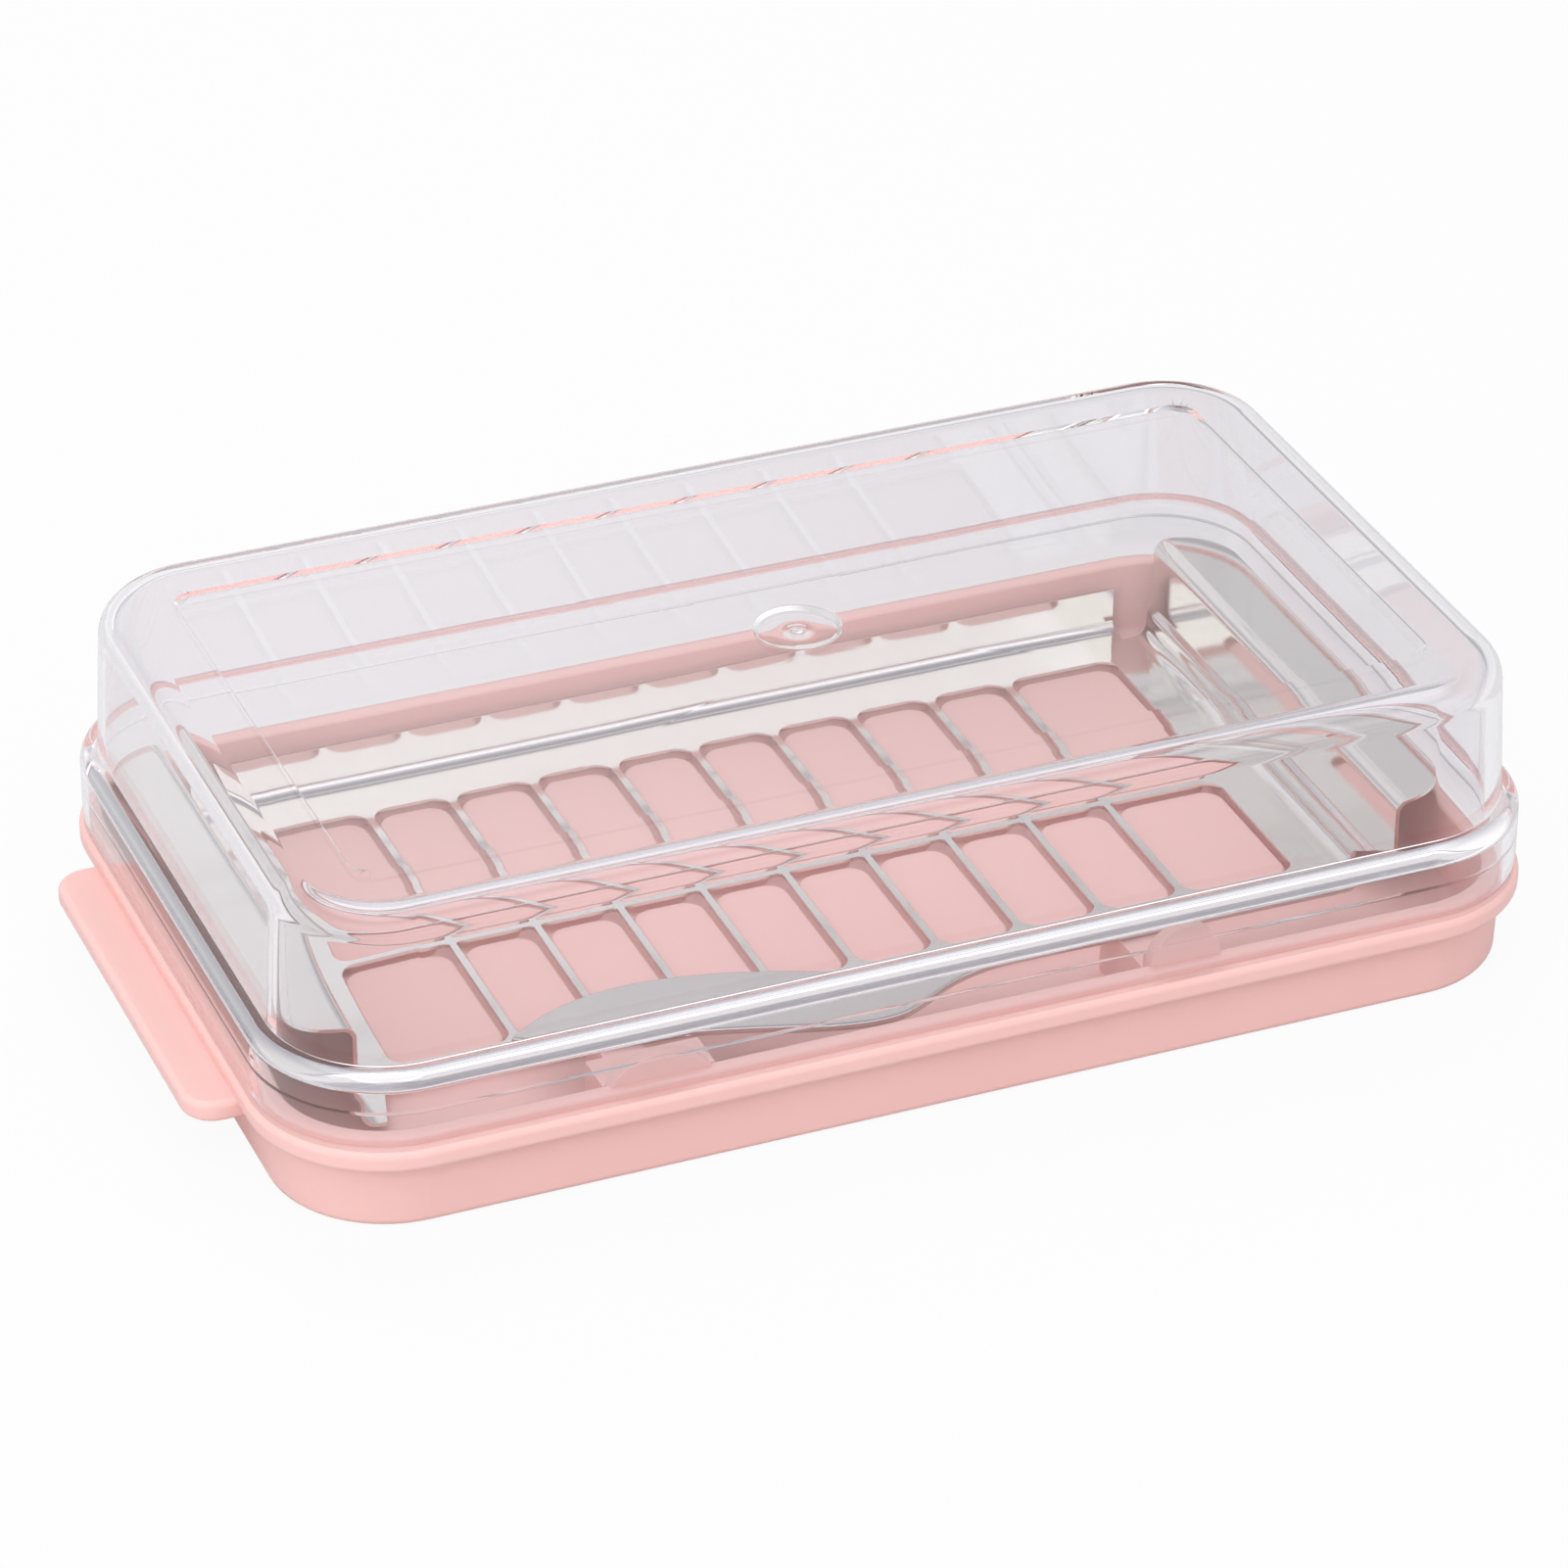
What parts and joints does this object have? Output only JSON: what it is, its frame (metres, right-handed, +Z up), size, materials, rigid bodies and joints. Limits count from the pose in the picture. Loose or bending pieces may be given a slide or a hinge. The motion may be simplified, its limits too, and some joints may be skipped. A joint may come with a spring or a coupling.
{
  "type": "butter slicer",
  "caption": "Lidded butter keeper: a tray with a grip tab, a clear lid, a press-down steel cutting grid with two wings, and a butter knife in a trough.",
  "frame": {"origin": "on the table under the middle of the tray's body, leaving out the grip tab", "axes": "+X along the tray away from the grip tab, +Y from the knife trough towards the back flange, +Z up"},
  "size_m": [0.1875, 0.108, 0.046],
  "materials": {
    "pink_plastic": "soft satin moulding, light pink",
    "polished_steel": "polished stainless sheet",
    "knife_steel": "polished stainless blade",
    "clear_plastic": "clear glossy moulding"
  },
  "bodies": {
    "tray": {"tray": "pink_plastic"},
    "cutter": {"cutter": "polished_steel"},
    "knife": {"butter_knife": "knife_steel"},
    "lid": {"lid": "clear_plastic"}
  },
  "joints": [
    {"name": "lid_lift", "type": "slide", "parent": "tray", "child": "lid", "axis": [0, 0, 1], "range_m": [0, 0.06]},
    {"name": "cutter_lift", "type": "slide", "parent": "tray", "child": "cutter", "axis": [0, 0, 1], "range_m": [0, 0.018]},
    {"name": "knife_lift", "type": "slide", "parent": "tray", "child": "knife", "axis": [0, 0, 1], "range_m": [0, 0.018]}
  ]
}
